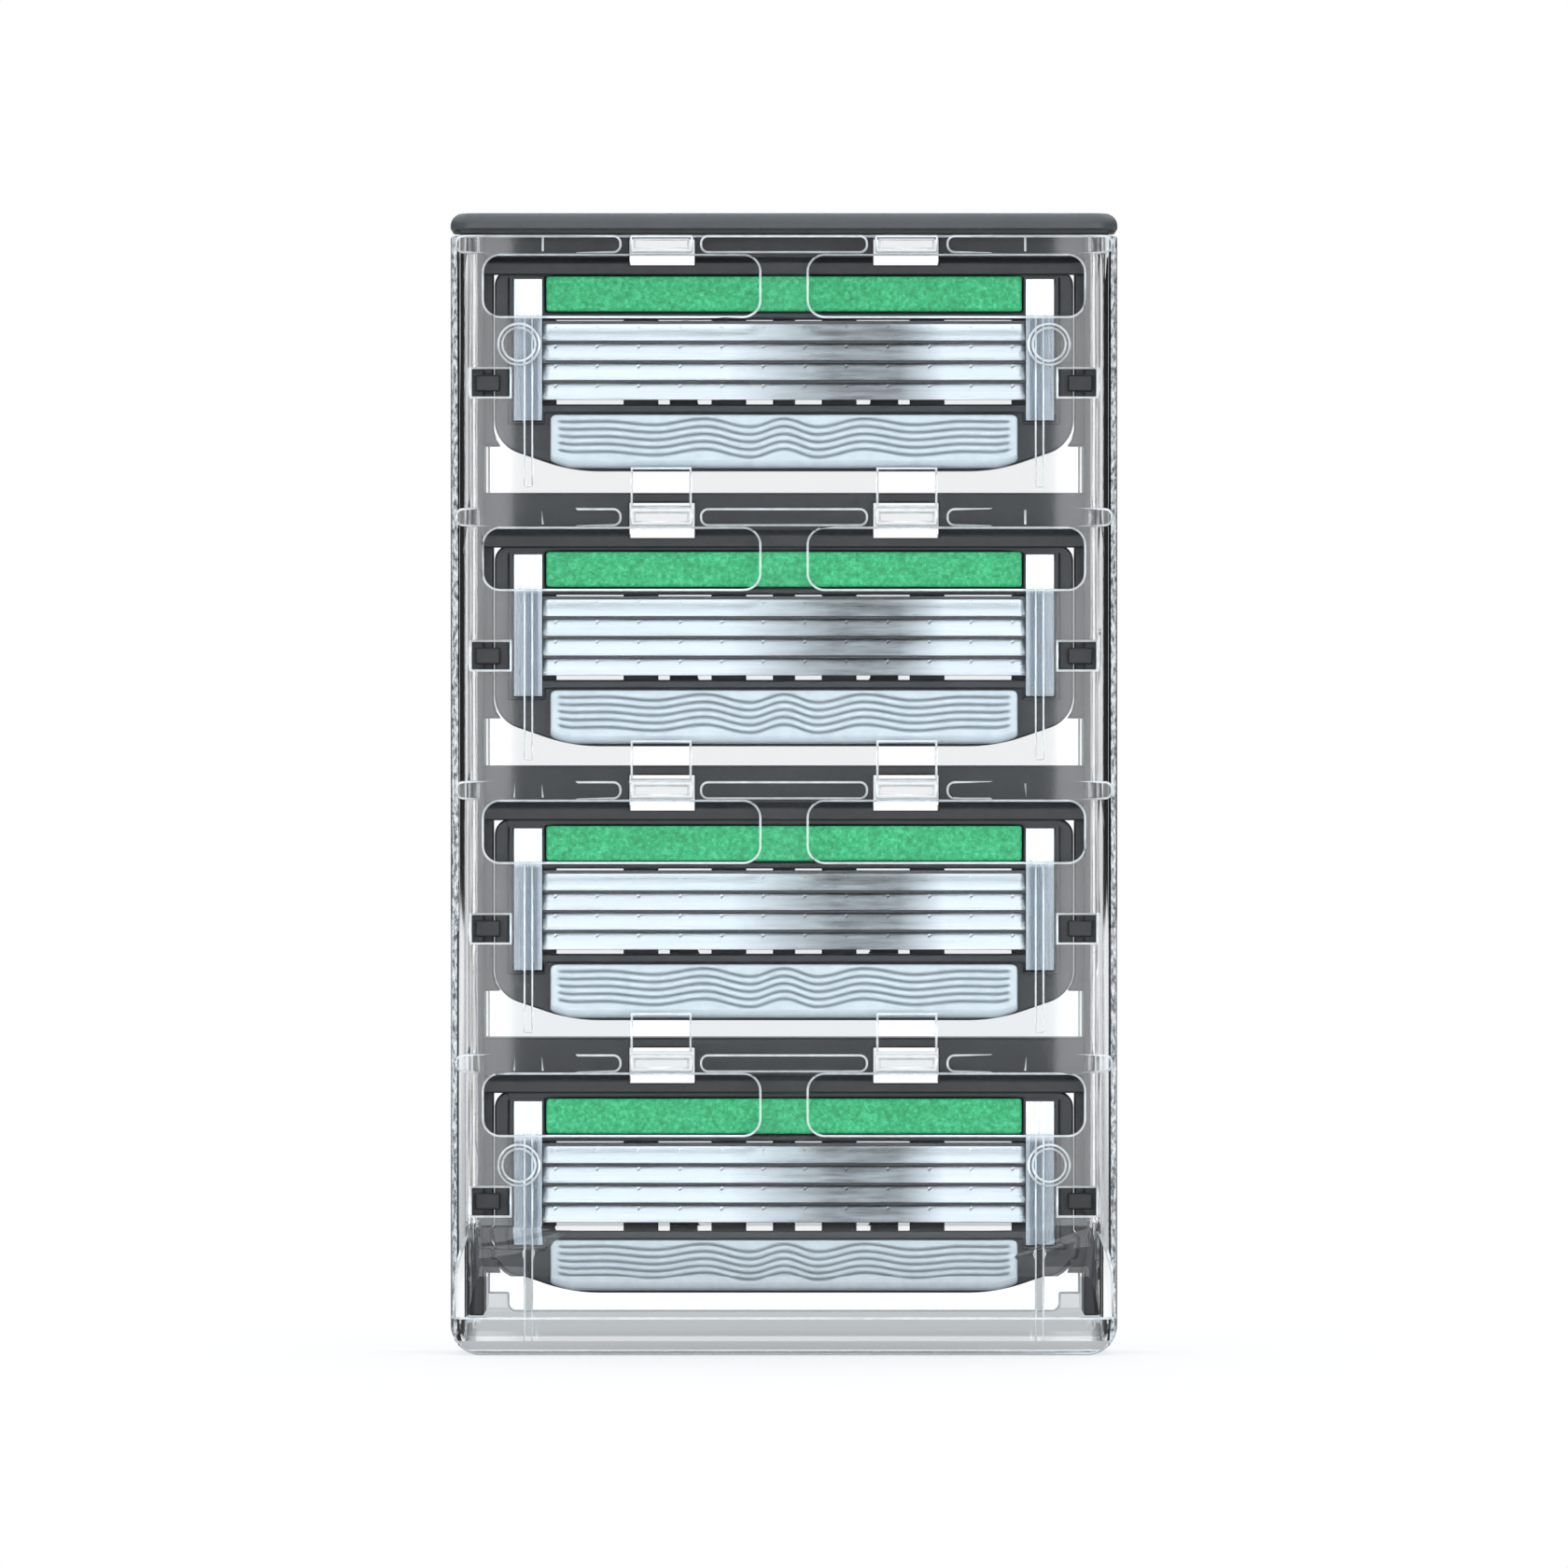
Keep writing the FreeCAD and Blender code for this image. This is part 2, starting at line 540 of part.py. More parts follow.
def build_housing(label):
    body = new_body(label)
    shell = [
        ("-housing_half", "housing_height", "shell_top_corner"),
        ("-housing_half", "shell_side_low", "shell_side_corner"),
        ("-shell_floor_half", "0", "shell_floor_corner"),
        ("shell_floor_half", "0", "shell_floor_corner"),
        ("housing_half", "shell_side_low", "shell_side_corner"),
        ("housing_half", "housing_height", "shell_top_corner"),
    ]
    extrude(body, f"{label}_shell", "XZ_Plane", [shell], "housing_front", "housing_back")
    clip_seat = rectangle(
        "opening_half - clip_seat_step",
        "clip_outer + clip_seat_rim",
        "clip_low - clip_seat_step",
        "strip_high - overlap / 2",
    )
    raised = "seat_front", "housing_front + overlap"
    extrude(body, f"{label}_clip_seats", "XZ_Plane", both_sides(clip_seat), *raised)
    rims = [
        rectangle("-opening_half", "opening_half", "guard_high + overlap", "opening_low + overlap"),
        rectangle("-opening_half", "opening_half", "opening_high - overlap", "strip_low - overlap / 2"),
    ]
    extrude(body, f"{label}_rims", "XZ_Plane", rims, *raised)
    opening = rectangle("-opening_half", "opening_half", "opening_low", "opening_high")
    cuts = [opening]
    for low, high in (("clip_low", "clip_low + clip_gauge"), ("clip_high - clip_gauge", "clip_high")):
        slot = rectangle(
            "clip_inner - fit_gap", "clip_outer + fit_gap", f"{low} - fit_gap", f"{high} + fit_gap"
        )
        cuts += both_sides(slot)
    before, behind = "seat_front - overlap", "housing_back + overlap"
    extrude(body, f"{label}_openings", "XZ_Plane", cuts, before, behind, cut=True)
    bed = rectangle("-strip_half", "strip_half", "strip_low - fit_gap", "strip_high + fit_gap")
    extrude(body, f"{label}_strip_bed", "XZ_Plane", [bed], before, "strip_bed", cut=True)
    comb_ends = "opening_low - overlap", "opening_high + overlap"
    comb = [rectangle("-comb_half", "comb_half", *comb_ends)]
    comb += both_sides(
        rectangle("comb_near_inner", "comb_near_outer", *comb_ends),
        rectangle("comb_far_inner", "comb_far_outer", *comb_ends),
        rectangle("comb_end", "opening_half + overlap", *comb_ends),
    )
    extrude(body, f"{label}_comb", "XZ_Plane", comb, "support_back + overlap", "housing_back")
    lug = [
        ("housing_back - overlap", "pivot_height - lug_half"),
        ("pivot_depth + lug_half", "pivot_height - lug_half", "lug_corner"),
        ("pivot_depth + lug_half", "pivot_height + lug_half", "lug_corner"),
        ("housing_back - overlap", "pivot_height + lug_half"),
    ]
    lugs = extrude(body, f"{label}_lug", "YZ_Plane", [lug], "lug_inner", "lug_outer")
    mirror_across_middle(body, lugs)
    bearing = [("pivot_depth", "pivot_height", "bearing_radius")]
    bored = "-lug_outer - overlap", "lug_outer + overlap"
    extrude(body, f"{label}_bearings", "YZ_Plane", [], *bored, cut=True, circles=bearing)
    return body


def build_strip(label):
    body = new_body(label)
    outline = rectangle("-strip_half", "strip_half", "strip_low", "strip_high", "strip_corner")
    base = extrude(body, f"{label}_block", "XZ_Plane", [outline], "blade_tip", "strip_bed")

    def is_front_edge(middle):
        return abs(middle.y - value("blade_tip")) < 0.01

    round_edges(body, f"{label}_edges", base, "strip_edge", is_front_edge)
    return body


def build_blade(label, index):
    """One honed blade, cutting edge down and forwards. The lowest blade has index 0."""
    body = new_body(label)
    edge = f"blade_low + {index} * blade_pitch"
    width = "sqrt(blade_rise * blade_rise + blade_reach * blade_reach)"
    back_y = f"blade_gauge * blade_rise / {width}"
    back_z = f"blade_gauge * blade_reach / {width}"
    section = [
        ("blade_tip", edge),
        ("blade_tip + blade_reach", f"{edge} + blade_rise"),
        (f"blade_tip + blade_reach + {back_y}", f"{edge} + blade_rise - {back_z}"),
        (f"blade_tip + blade_reach / 4 + {back_y}", f"{edge} + blade_rise / 4 - {back_z}"),
    ]
    extrude(body, f"{label}_sheet", "YZ_Plane", [section], "-blade_half", "blade_half")
    return body


def build_supports(label):
    """The four bent steel supports that carry the blades."""
    body = new_body(label)
    body.AllowCompound = True
    edge = "blade_low + blade_pitch * (blades - 1)"
    width = "sqrt(blade_rise * blade_rise + blade_reach * blade_reach)"
    near_y = f"(blade_gauge + fit_gap / 2) * blade_rise / {width}"
    near_z = f"(blade_gauge + fit_gap / 2) * blade_reach / {width}"
    far_y = f"(blade_gauge + support_gauge) * blade_rise / {width}"
    far_z = f"(blade_gauge + support_gauge) * blade_reach / {width}"
    section = [
        (f"blade_tip + blade_reach * covered + {near_y}", f"{edge} + blade_rise * covered - {near_z}"),
        (f"blade_tip + blade_reach + {near_y}", f"{edge} + blade_rise - {near_z}"),
        (f"blade_tip + blade_reach + {near_y}", f"{edge} + blade_rise + support_gauge"),
        ("support_back", f"{edge} + blade_rise + support_gauge"),
        ("support_back", f"{edge} + blade_rise"),
        (f"blade_tip + blade_reach + {far_y} + overlap", f"{edge} + blade_rise"),
        (f"blade_tip + blade_reach * covered + {far_y}", f"{edge} + blade_rise * covered - {far_z}"),
    ]
    top = extrude(body, f"{label}_bend", "YZ_Plane", [section], "-blade_half", "blade_half")
    repeat_down(body, top, "blade_pitch", "blades")
    return body


def build_guard(label):
    body = new_body(label)
    block = [
        ("-guard_half", "guard_low + guard_rise"),
        ("-guard_half + guard_taper", "guard_low"),
        ("guard_half - guard_taper", "guard_low"),
        ("guard_half", "guard_low + guard_rise"),
        ("guard_half", "guard_high", "guard_corner"),
        ("-guard_half", "guard_high", "guard_corner"),
    ]
    extrude(body, f"{label}_block", "XZ_Plane", [block], "guard_front", "housing_front")
    groove = rectangle(
        "groove_end - guard_half",
        "guard_half - groove_end",
        "groove_high - groove_half",
        "groove_high + groove_half",
    )
    depths = "guard_front - overlap", "guard_front + groove_depth"
    grooves = extrude(body, f"{label}_groove", "XZ_Plane", [groove], *depths, cut=True)
    repeat_down(body, grooves, "groove_pitch", "grooves")
    return body


def build_clip(label, start, end):
    """A bent aluminium band that holds the blades down at one end of the housing."""
    body = new_body(label)
    front = "seat_front - clip_gauge"
    back = "housing_back + clip_gauge"
    band = [
        (front, "clip_low"),
        (front, "clip_high"),
        (back, "clip_high"),
        (back, "clip_high - clip_return"),
        ("housing_back", "clip_high - clip_return"),
        ("housing_back", "clip_high - clip_gauge"),
        ("seat_front", "clip_high - clip_gauge"),
        ("seat_front", "clip_low + clip_gauge"),
        ("housing_back", "clip_low + clip_gauge"),
        ("housing_back", "clip_low + clip_return"),
        (back, "clip_low + clip_return"),
        (back, "clip_low"),
    ]
    extrude(body, f"{label}_band", "YZ_Plane", [band], start, end)
    return body


def build_connector(label):
    """The docking yoke that a razor handle snaps into. It turns on two pins in the lugs."""
    body = new_body(label)
    frame = rectangle("-yoke_half", "yoke_half", "yoke_low", "yoke_high", "yoke_corner")
    socket = rectangle("-socket_half", "socket_half", "socket_low", "socket_high", "socket_corner")
    extrude(body, f"{label}_frame", "XZ_Plane", [frame, socket], "yoke_front", "yoke_back")
    notch = rectangle(
        "socket_half - overlap",
        "socket_half + notch_reach",
        "socket_low + notch_margin",
        "socket_high - notch_margin",
    )
    depths = "yoke_front - overlap", "yoke_back - notch_floor"
    extrude(body, f"{label}_notches", "XZ_Plane", both_sides(notch), *depths, cut=True)
    pin = [("pivot_depth", "pivot_height", "pin_radius")]
    pin_ends = "yoke_half - 2 * overlap", "lug_outer - pin_end_gap"
    pins = extrude(body, f"{label}_pin", "YZ_Plane", [], *pin_ends, circles=pin)
    mirror_across_middle(body, pins)
    return body


def build_cartridge(number, play):
    name = f"cartridge_{number}"
    pieces = [
        build_housing(f"{name}_housing"),
        build_strip(f"{name}_lubricating_strip"),
        build_supports(f"{name}_blade_supports"),
        build_guard(f"{name}_comfort_guard"),
        build_clip(f"{name}_clip_left", "-clip_outer", "-clip_inner"),
        build_clip(f"{name}_clip_right", "clip_inner", "clip_outer"),
        build_connector(f"{name}_connector"),
    ]
    blades = round(value("blades"))
    for index in range(blades):
        pieces.append(build_blade(f"{name}_blade_{blades - index}", index))
    for piece in pieces:
        height = f"seat + {play} - bay_pitch * {number - 1}"
        piece.setExpression("Placement.Base.z", formula(height))


build_case()
build_tray()
for number, play in enumerate(("play_top", "play_second", "play_third", "play_bottom"), start=1):
    build_cartridge(number, play)
doc.recompute()

# ------------------------------------------------------------------------ checks, export

bodies = [item for item in doc.Objects if item.TypeId == "PartDesign::Body"]
failed = [item.Label for item in doc.Objects if {"Invalid", "Error"} & set(item.State)]
failed += [body.Label for body in bodies if body.Shape.isNull() or not body.Shape.isValid()]
if not failed:
    for pocket in (item for item in doc.Objects if item.TypeId == "PartDesign::Pocket"):
        if pocket.Shape.Volume > pocket.BaseFeature.Shape.Volume - 1e-6:
            failed.append(f"{pocket.Label} cuts nothing")
if failed:
    raise RuntimeError(f"these did not build: {failed}")

os.makedirs("parts", exist_ok=True)
for body in bodies:
    body.Shape.exportStep(os.path.join("parts", f"{body.Label}.step"))
    print(f"{body.Label}: {body.Shape.Volume:.2f} mm3, {len(body.Shape.Solids)} solid(s)")
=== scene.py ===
import json
import math

import bmesh
import bpy
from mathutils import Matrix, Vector, noise
from mathutils.kdtree import KDTree


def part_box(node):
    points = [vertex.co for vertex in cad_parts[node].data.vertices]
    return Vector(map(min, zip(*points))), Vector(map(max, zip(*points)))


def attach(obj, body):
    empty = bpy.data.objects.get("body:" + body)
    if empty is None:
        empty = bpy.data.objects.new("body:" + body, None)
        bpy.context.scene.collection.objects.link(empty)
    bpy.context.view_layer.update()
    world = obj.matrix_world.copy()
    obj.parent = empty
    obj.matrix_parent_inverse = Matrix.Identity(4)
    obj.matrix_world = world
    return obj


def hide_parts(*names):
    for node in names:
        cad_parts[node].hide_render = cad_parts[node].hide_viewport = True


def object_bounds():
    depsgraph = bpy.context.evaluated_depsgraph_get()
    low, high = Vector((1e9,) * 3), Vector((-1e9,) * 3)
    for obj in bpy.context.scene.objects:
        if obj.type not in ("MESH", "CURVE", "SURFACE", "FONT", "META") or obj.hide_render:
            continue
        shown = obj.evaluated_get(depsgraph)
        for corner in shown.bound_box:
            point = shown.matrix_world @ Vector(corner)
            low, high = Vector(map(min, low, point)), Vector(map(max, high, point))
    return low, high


# A razor-cartridge dispenser: a clear case, a charcoal tray with an end cap, and four
# cartridges, with their blades towards -Y and the camera. Lengths are metres; MM turns
# millimetres into metres. Places come from the boxes of the CAD nodes.

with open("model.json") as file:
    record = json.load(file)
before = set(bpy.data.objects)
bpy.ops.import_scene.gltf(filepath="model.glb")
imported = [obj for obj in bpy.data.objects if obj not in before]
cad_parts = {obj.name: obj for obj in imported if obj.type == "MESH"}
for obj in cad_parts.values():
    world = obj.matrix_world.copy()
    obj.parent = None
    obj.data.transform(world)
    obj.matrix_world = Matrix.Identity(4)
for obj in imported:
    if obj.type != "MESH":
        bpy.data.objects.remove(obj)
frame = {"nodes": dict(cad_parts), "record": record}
cad_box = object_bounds()
MM = 0.001
ROWS = (1, 2, 3, 4)
BLADES = (1, 2, 3, 4)
scene = bpy.context.scene
nodes_of_cad = frame["nodes"]
slot_of_node = {part["node"]: part["material_slot"] for part in frame["record"]["subparts"]}
body_of_node = {
    node: body for body, nodes in frame["record"]["behaviour"]["bodies"].items() for node in nodes
}


# -------------------------------------------------------------------------- node helpers


class Nodes:
    """A node tree whose nodes are added one call at a time."""

    def __init__(self, tree):
        self.tree = tree
        self.tree.nodes.clear()

    def add(self, kind, **settings):
        node = self.tree.nodes.new(kind)
        for key, setting in settings.items():
            setattr(node, key, setting)
        return node

    def link(self, source, target):
        self.tree.links.new(source, target)

    def feed(self, source, target):
        """Links a socket to an input, or sets the input to a number or a colour."""
        if isinstance(source, bpy.types.NodeSocket):
            self.link(source, target)
        else:
            target.default_value = source

    def math(self, operation, first, second=None):
        node = self.add("ShaderNodeMath", operation=operation)
        self.link(first, node.inputs[0])
        if second is not None:
            self.feed(second, node.inputs[1])
        return node.outputs["Value"]

    def split(self, vector):
        """The X, Y and Z of a vector."""
        node = self.add("ShaderNodeSeparateXYZ")
        self.link(vector, node.inputs["Vector"])
        return node.outputs

    def share(self, number, low, high):
        """How far a number has come: 0 up to low, 1 from high."""
        node = self.add("ShaderNodeMapRange")
        node.inputs["From Min"].default_value = low
        node.inputs["From Max"].default_value = high
        self.link(number, node.inputs["Value"])
        return node.outputs["Result"]

    def ramp(self, source, *stops):
        """A colour ramp. A stop is (place, grey) or (place, (r, g, b))."""
        node = self.add("ShaderNodeValToRGB")
        elements = node.color_ramp.elements
        while len(elements) < len(stops):
            elements.new(0.5)
        for element, (place, colour) in zip(elements, stops):
            element.position = place
            rgb = colour if isinstance(colour, tuple) else (colour,) * 3
            element.color = (*rgb, 1.0)
        self.link(source, node.inputs["Fac"])
        return node.outputs["Color"]

    def mix(self, factor, first, second, blend="MIX"):
        node = self.add("ShaderNodeMix", data_type="RGBA", blend_type=blend)
        for socket, source in (("Factor", factor), ("A", first), ("B", second)):
            self.feed(source, next(s for s in node.inputs if s.name == socket and s.enabled))
        return next(s for s in node.outputs if s.enabled)

    def choose(self, factor, first, second):
        """One of two shaders: the first where the factor is 0, the second where it is 1."""
        node = self.add("ShaderNodeMixShader")
        self.link(factor, node.inputs["Fac"])
        self.link(first, node.inputs[1])
        self.link(second, node.inputs[2])
        return node.outputs["Shader"]


class Shader(Nodes):
    """A material with one main surface shader."""

    def __init__(self, name):
        self.material = bpy.data.materials.new(name)
        self.material.use_nodes = True
        super().__init__(self.material.node_tree)
        self.output = self.add("ShaderNodeOutputMaterial")
        self.surface = self.add("ShaderNodeBsdfPrincipled")
        self.link(self.surface.outputs["BSDF"], self.output.inputs["Surface"])
        self.place = self.add("ShaderNodeTexCoord").outputs["Object"]

    def set(self, **values):
        for key, number in values.items():
            self.surface.inputs[key.replace("_", " ")].default_value = number

    def use(self, **sources):
        for key, source in sources.items():
            self.link(source, self.surface.inputs[key.replace("_", " ")])

    def stretched(self, x=1.0, y=1.0, z=1.0):
        """Object coordinates scaled along each axis."""
        mapping = self.add("ShaderNodeMapping")
        mapping.inputs["Scale"].default_value = (x, y, z)
        self.link(self.place, mapping.inputs["Vector"])
        return mapping.outputs["Vector"]

    def noise(self, per_mm, detail=3.0, roughness=0.5, where=None):
        """Noise with about per_mm features in a millimetre."""
        node = self.add("ShaderNodeTexNoise")
        node.inputs["Scale"].default_value = per_mm / MM
        node.inputs["Detail"].default_value = detail
        node.inputs["Roughness"].default_value = roughness
        self.link(where or self.place, node.inputs["Vector"])
        return node.outputs["Fac"]

    def bump(self, height, depth_mm, strength=1.0, normal=None):
        node = self.add("ShaderNodeBump")
        node.inputs["Strength"].default_value = strength
        node.inputs["Distance"].default_value = depth_mm * MM
        self.link(height, node.inputs["Height"])
        if normal is not None:
            self.link(normal, node.inputs["Normal"])
        return node.outputs["Normal"]


# ------------------------------------------------------------------------------ materials

POLYSTYRENE_IOR = 1.59
CAP_TOP = cad_box[1][2]
# Heights where the tray's painted shade inside gives way to the painted light on the end cap.
CAP_PAINTED_LIGHT_STEP = (CAP_TOP - 1.3 * MM, CAP_TOP - 1.1 * MM)
DIM_STEEL = (0.15, 0.16, 0.165, 1.0)
DIM_ALUMINIUM = (0.18, 0.215, 0.25, 1.0)
DIM_PATCH = (-4.0 * MM, 14.0 * MM)
CLIP_ABOVE_SEAT = 3.6 * MM
CLIP_FOLD = 0.56
CLIP_FOLD_HALF = 0.01
CLIP_RIM = 0.1 * MM
# Depths behind the guard's front face over which its painted shade deepens.
GROOVE_SHADE = (0.04 * MM, 0.3 * MM)


def clear_plastic():
    """Polished clear polystyrene. It lets lamps through, as a thin clear wall does."""
    shader = Shader("clear_plastic")
    shader.set(Roughness=0.015, IOR=POLYSTYRENE_IOR, Transmission_Weight=1.0)
    tint = shader.noise(0.05, 2.0)
    shader.use(Base_Color=shader.ramp(tint, (0.3, (0.93, 0.945, 0.95)), (0.7, (0.945, 0.955, 0.96))))
    flow = shader.noise(0.16, 2.0, where=shader.stretched(z=0.35))
    shader.use(Normal=shader.bump(flow, 0.001, 0.1))
    shadow = shader.add("ShaderNodeLightPath").outputs["Is Shadow Ray"]
    open_air = shader.add("ShaderNodeBsdfTransparent")
    open_air.inputs["Color"].default_value = (0.9, 0.92, 0.93, 1.0)
    either = shader.choose(shadow, shader.surface.outputs["BSDF"], open_air.outputs["BSDF"])
    shader.link(either, shader.output.inputs["Surface"])
    return shader.material


def clear_edge_highlight():
    """The rounded edges of the clear case, pale and partly cloudy: a painted highlight for the light
    that such edges gather.
    """
    shader = Shader("clear_edge_highlight")
    haze = shader.noise(1.3)
    shader.set(IOR=POLYSTYRENE_IOR)
    # Painted highlight: a pale base colour that shows on the less clear share of the edge.
    shader.use(Base_Color=shader.ramp(haze, (0.3, (0.84, 0.9, 0.93)), (0.7, (0.95, 0.98, 1.0))))
    shader.use(Roughness=shader.ramp(haze, (0.3, 0.1), (0.7, 0.22)))
    shader.use(Transmission_Weight=shader.ramp(haze, (0.3, 0.4), (0.7, 0.62)))
    return shader.material


def clear_corner_glints():
    """The upright front corners of the clear case, finely dimpled, and speckled dark and pale as
    painted shade and painted glints, so that they sparkle.
    """
    shader = Shader("clear_corner_glints")
    dimples = shader.noise(2.6, roughness=0.7, where=shader.stretched(z=0.7))
    shader.set(IOR=POLYSTYRENE_IOR)
    # Painted glints and shade: dark and pale specks in the base colour, following the dimples.
    shader.use(Base_Color=shader.ramp(dimples, (0.38, (0.2, 0.23, 0.26)), (0.55, (0.95, 0.98, 1.0))))
    shader.use(Roughness=shader.ramp(dimples, (0.3, 0.12), (0.7, 0.3)))
    shader.use(Transmission_Weight=shader.ramp(dimples, (0.35, 0.5), (0.6, 0.2)))
    shader.use(Normal=shader.bump(dimples, 0.03, 0.7))
    return shader.material


def spark_grain(shader):
    """The fine grain that a spark-eroded tool leaves."""
    shader.use(Normal=shader.bump(shader.noise(9.0, roughness=0.6), 0.008, 0.6))


def moulded_plastic(name, dark, light, roughness):
    """Injection-moulded plastic with a fine grain and faint flow marks."""
    shader = Shader(name)
    clouds = shader.noise(0.35, 4.0)
    shader.use(Base_Color=shader.ramp(clouds, (0.3, dark), (0.7, light)))
    speck = shader.noise(2.2, 2.0)
    shader.use(Roughness=shader.ramp(speck, (0.3, roughness - 0.06), (0.7, roughness + 0.08)))
    spark_grain(shader)
    return shader.material


def charcoal_plastic():
    """The tray's plastic in two painted copies: darker inside as painted shade, and lighter on the end
    cap as painted light.
    """
    shader = Shader("charcoal_plastic")
    # Painted light and shade: the end cap, high up, gets a lighter copy of the colour than the tray
    # inside the case.
    up = shader.share(shader.split(shader.place)["Z"], *CAP_PAINTED_LIGHT_STEP)
    clouds = shader.noise(0.35, 4.0)
    inside = shader.ramp(clouds, (0.3, (0.013, 0.015, 0.017)), (0.7, (0.018, 0.02, 0.022)))
    cap = shader.ramp(clouds, (0.3, (0.046, 0.051, 0.057)), (0.7, (0.055, 0.061, 0.067)))
    shader.use(Base_Color=shader.mix(up, inside, cap))
    speck = shader.noise(2.2, 2.0)
    shader.use(Roughness=shader.ramp(speck, (0.3, 0.4), (0.7, 0.54)))
    spark_grain(shader)
    return shader.material


def lubricating_polymer():
    """Green water-soluble polymer, mottled and slightly waxy."""
    shader = Shader("green_strip")
    speckle = shader.noise(3.4, 5.0, 0.72)
    patches = shader.noise(0.5)
    fine = shader.ramp(
        speckle,
        (0.32, (0.01, 0.24, 0.075)),
        (0.5, (0.026, 0.41, 0.16)),
        (0.7, (0.1, 0.62, 0.31)),
    )
    broad = shader.ramp(patches, (0.3, 0.86), (0.7, 1.0))
    shader.use(Base_Color=shader.mix(1.0, fine, broad, "MULTIPLY"))
    shader.use(Roughness=shader.ramp(speckle, (0.3, 0.5), (0.7, 0.68)))
    shader.use(Normal=shader.bump(speckle, 0.03, 0.7))
    shader.set(Subsurface_Weight=0.08, Subsurface_Scale=0.3 * MM)
    return shader.material


def brushed_metal(name, dark, light, roughness, along="x", dim_where=None, dim=DIM_STEEL):
    """Rolled or ground metal with fine lines along one axis, dimmer where dim_where says."""
    shader = Shader(name)
    scale = {"x": (0.02, 1.0, 1.0), "z": (1.0, 1.0, 0.02)}[along]
    lines = shader.noise(7.0, 4.0, 0.65, shader.stretched(*scale))
    broad = shader.noise(1.1, 2.0, where=shader.stretched(*scale))
    base = shader.ramp(lines, (0.35, dark), (0.65, light))
    tone = shader.ramp(broad, (0.3, 0.9), (0.7, 1.0))
    colour = shader.mix(1.0, base, tone, "MULTIPLY")
    if dim_where is not None:
        colour = shader.mix(dim_where(shader), colour, dim)
    shader.set(Metallic=1.0)
    shader.use(Base_Color=colour)
    shader.use(Roughness=shader.ramp(lines, (0.3, roughness - 0.05), (0.7, roughness + 0.08)))
    frost = shader.noise(6.0, 2.0)
    coarse = shader.bump(lines, 0.004, 0.5)
    shader.use(Normal=shader.bump(frost, 0.003, 0.5, coarse))
    return shader.material


def blade_patch(shader):
    """A dim patch right of the blades' middle. It stands for the dark reflection there."""
    wavy = shader.noise(2.4, roughness=0.6, where=shader.stretched(x=0.12))
    across = shader.share(shader.split(shader.place)["X"], *DIM_PATCH)
    band = shader.ramp(across, (0.0, 0.0), (0.42, 0.95), (0.68, 0.9), (0.86, 0.0))
    streaks = shader.ramp(wavy, (0.25, 0.6), (0.7, 1.0))
    return shader.mix(1.0, band, streaks, "MULTIPLY")


def clip_leg(shader):
    """The part of each clip below its fold, in bands. It stands for the dark reflection there."""
    low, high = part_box("cartridge_4_clip_right")
    top_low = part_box("cartridge_1_clip_right")[0]
    pitch = (top_low[2] - low[2]) / (len(ROWS) - 1)
    place = shader.split(shader.place)
    above_seat = shader.math("SUBTRACT", place["Z"], low[2] - CLIP_ABOVE_SEAT)
    in_row = shader.math("FLOORED_MODULO", above_seat, pitch)
    height = shader.share(in_row, 0.0, pitch)
    fold = (CLIP_FOLD - CLIP_FOLD_HALF, CLIP_FOLD + CLIP_FOLD_HALF)
    below = shader.ramp(height, (fold[0], 1.0), (fold[1], 0.0))
    across = shader.share(shader.math("ABSOLUTE", place["X"]), low[0], high[0] + CLIP_RIM)
    bands = shader.ramp(
        across,
        (0.0, 0.55),
        (0.12, 0.7),
        (0.16, 0.98),
        (0.5, 0.98),
        (0.56, 0.8),
        (1.0, 0.72),
    )
    return shader.mix(1.0, below, bands, "MULTIPLY")


def guard_rubber():
    """Pale elastomer with a soft bloom, and painted shade that makes it darker in the grooves."""
    shader = Shader("guard_rubber")
    bloom = shader.noise(1.6, 4.0)
    skin = shader.ramp(bloom, (0.3, (0.53, 0.6, 0.645)), (0.7, (0.6, 0.67, 0.715)))
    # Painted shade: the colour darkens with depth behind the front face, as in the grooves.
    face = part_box("cartridge_1_comfort_guard")[0][1]
    depth = shader.share(shader.split(shader.place)["Y"], *(face + y for y in GROOVE_SHADE))
    shade = shader.ramp(depth, (0.0, 1.0), (1.0, 0.5))
    shader.use(Base_Color=shader.mix(1.0, skin, shade, "MULTIPLY"))
    shader.use(Roughness=shader.ramp(bloom, (0.3, 0.5), (0.7, 0.66)))
    shader.use(Normal=shader.bump(shader.noise(6.5), 0.01, 0.5))
    return shader.material


CLEAR_EDGE_HIGHLIGHT = clear_edge_highlight()
CLEAR_CORNER_GLINTS = clear_corner_glints()
MATERIALS = {
    "clear_plastic": clear_plastic(),
    "charcoal_plastic": charcoal_plastic(),
    "black_plastic": moulded_plastic(
        "black_plastic", (0.014, 0.017, 0.021), (0.02, 0.024, 0.029), 0.34
    ),
    "connector_plastic": moulded_plastic(
        "connector_plastic", (0.02, 0.022, 0.025), (0.028, 0.03, 0.034), 0.4
    ),
    "green_strip": lubricating_polymer(),
    "support_steel": brushed_metal("support_steel", (0.07, 0.075, 0.085), (0.11, 0.115, 0.125), 0.38),
    "blade_steel": brushed_metal(
        "blade_steel", (0.76, 0.81, 0.85), (0.86, 0.9, 0.94), 0.3, "x", blade_patch
    ),
    "guard_rubber": guard_rubber(),
    "clip_aluminium": brushed_metal(
        "clip_aluminium", (0.6, 0.65, 0.7), (0.78, 0.83, 0.88), 0.27, "z", clip_leg, DIM_ALUMINIUM
    ),
}


# --------------------------------------------------------------------------- mesh helpers


